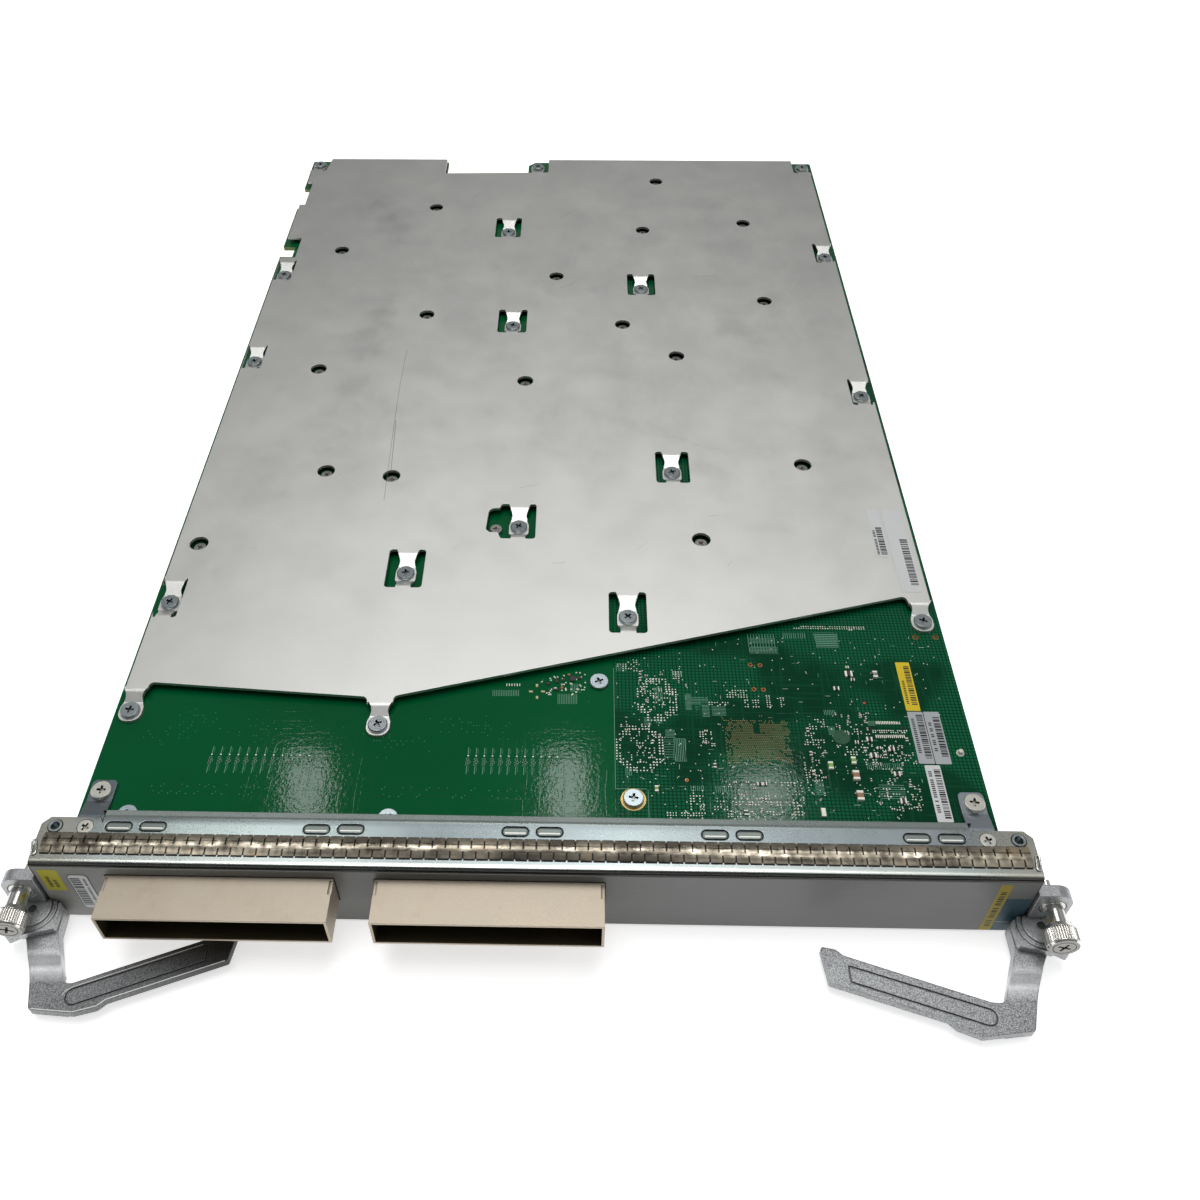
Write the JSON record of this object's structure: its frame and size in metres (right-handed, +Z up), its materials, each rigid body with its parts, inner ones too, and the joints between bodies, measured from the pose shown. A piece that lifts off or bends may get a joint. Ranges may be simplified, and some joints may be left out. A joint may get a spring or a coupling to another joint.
{
  "type": "switch line card",
  "caption": "Chassis line card: long circuit board under an aluminium cover, channel faceplate with module cages, hinged ejector levers and captive screws.",
  "frame": {"origin": "bottom centre of the bounding box, on the surface that the card lies on", "axes": "+X along the faceplate to the right seen from the front, +Y from the faceplate to the backplane edge, +Z up, away from the component side"},
  "size_m": [0.4063, 0.5971, 0.0413],
  "materials": {
    "black_plastic": "moulded black",
    "bracket_steel": "zinc plated",
    "cast_zinc": "satin die casting with fine sparkle",
    "circuit_board": "green solder mask, gloss",
    "connector_grey": "moulded grey",
    "grey_overlay": "light grey satin film",
    "heat_sink_aluminium": "plain extruded",
    "module_plate": "potted brick",
    "nickel_plated_steel": "bright nickel plate",
    "nickel_sheet": "warm grey nickel plate",
    "package_black": "moulded epoxy",
    "satin_aluminium": "bare satin sheet, fine scratches",
    "screw_steel": "zinc plated, cross recess",
    "spring_bronze": "tin plated copper alloy, worn",
    "steel_pin": "dark steel",
    "zinc_plated_sheet": "bright zinc plated sheet"
  },
  "bodies": {
    "card": {"back_cover": "satin_aluminium", "backplane_connector_1": "connector_grey", "backplane_connector_2": "connector_grey", "backplane_connector_3": "connector_grey", "board_nuts": "screw_steel", "board_screws": "screw_steel", "cage_connector_left": "black_plastic", "cage_connector_right": "black_plastic", "corner_screws": "screw_steel", "cover_screws": "screw_steel", "emi_gasket": "spring_bronze", "faceplate": "zinc_plated_sheet", "faceplate_overlay": "grey_overlay", "flange_screws": "screw_steel", "fpga_package": "package_black", "heat_sink_1": "heat_sink_aluminium", "heat_sink_2": "heat_sink_aluminium", "heat_sink_3": "heat_sink_aluminium", "heat_sink_4": "heat_sink_aluminium", "heat_sink_5": "heat_sink_aluminium", "heat_sink_6": "heat_sink_aluminium", "heat_sink_7": "heat_sink_aluminium", "heat_sink_8": "heat_sink_aluminium", "heat_sink_9": "heat_sink_aluminium", "heat_sink_screws": "screw_steel", "left_corner_bracket": "bracket_steel", "left_ejector_bracket": "cast_zinc", "left_guide_block": "heat_sink_aluminium", "left_pivot_block": "cast_zinc", "main_board": "circuit_board", "module_cage_left": "nickel_sheet", "module_cage_right": "nickel_sheet", "pivot_pins": "steel_pin", "power_connector": "black_plastic", "power_module_1": "module_plate", "power_module_2": "module_plate", "power_module_3": "module_plate", "processor_package_1": "package_black", "processor_package_2": "package_black", "processor_package_3": "package_black", "processor_package_4": "package_black", "processor_package_5": "package_black", "processor_package_6": "package_black", "processor_package_7": "package_black", "processor_package_8": "package_black", "processor_package_9": "package_black", "right_corner_bracket": "bracket_steel", "right_ejector_bracket": "cast_zinc", "right_guide_block": "heat_sink_aluminium", "right_pivot_block": "cast_zinc", "rivet_nuts": "screw_steel", "screw_ferrules": "nickel_plated_steel"},
    "right_lever": {"right_ejector_lever": "cast_zinc"},
    "left_lever": {"left_ejector_lever": "cast_zinc"},
    "left_screw_slider": {"left_screw_spring": "steel_pin"},
    "left_thumbscrew": {"left_captive_screw": "nickel_plated_steel", "left_screw_knob": "nickel_plated_steel"},
    "right_screw_slider": {"right_screw_spring": "steel_pin"},
    "right_thumbscrew": {"right_captive_screw": "nickel_plated_steel", "right_screw_knob": "nickel_plated_steel"}
  },
  "joints": [
    {"name": "left_lever_pivot", "type": "hinge", "parent": "card", "child": "left_lever", "pos_m": [-0.1896, -0.25957, 0.0075], "axis": [0, 0, -1], "range_deg": [0, 65]},
    {"name": "right_lever_pivot", "type": "hinge", "parent": "card", "child": "right_lever", "pos_m": [0.1896, -0.25957, 0.0075], "axis": [0, 0, 1], "range_deg": [-3, 62]},
    {"name": "left_screw_press", "type": "slide", "parent": "card", "child": "left_screw_slider", "axis": [0, 1, 0], "range_m": [0, 0.005], "stiffness_N_per_m": 300},
    {"name": "left_screw_turn", "type": "hinge", "parent": "left_screw_slider", "child": "left_thumbscrew", "pos_m": [-0.1919, -0.26497, 0.023], "axis": [0, 1, 0], "continuous": true},
    {"name": "right_screw_press", "type": "slide", "parent": "card", "child": "right_screw_slider", "axis": [0, 1, 0], "range_m": [0, 0.005], "stiffness_N_per_m": 300},
    {"name": "right_screw_turn", "type": "hinge", "parent": "right_screw_slider", "child": "right_thumbscrew", "pos_m": [0.1919, -0.26497, 0.023], "axis": [0, 1, 0], "continuous": true}
  ]
}
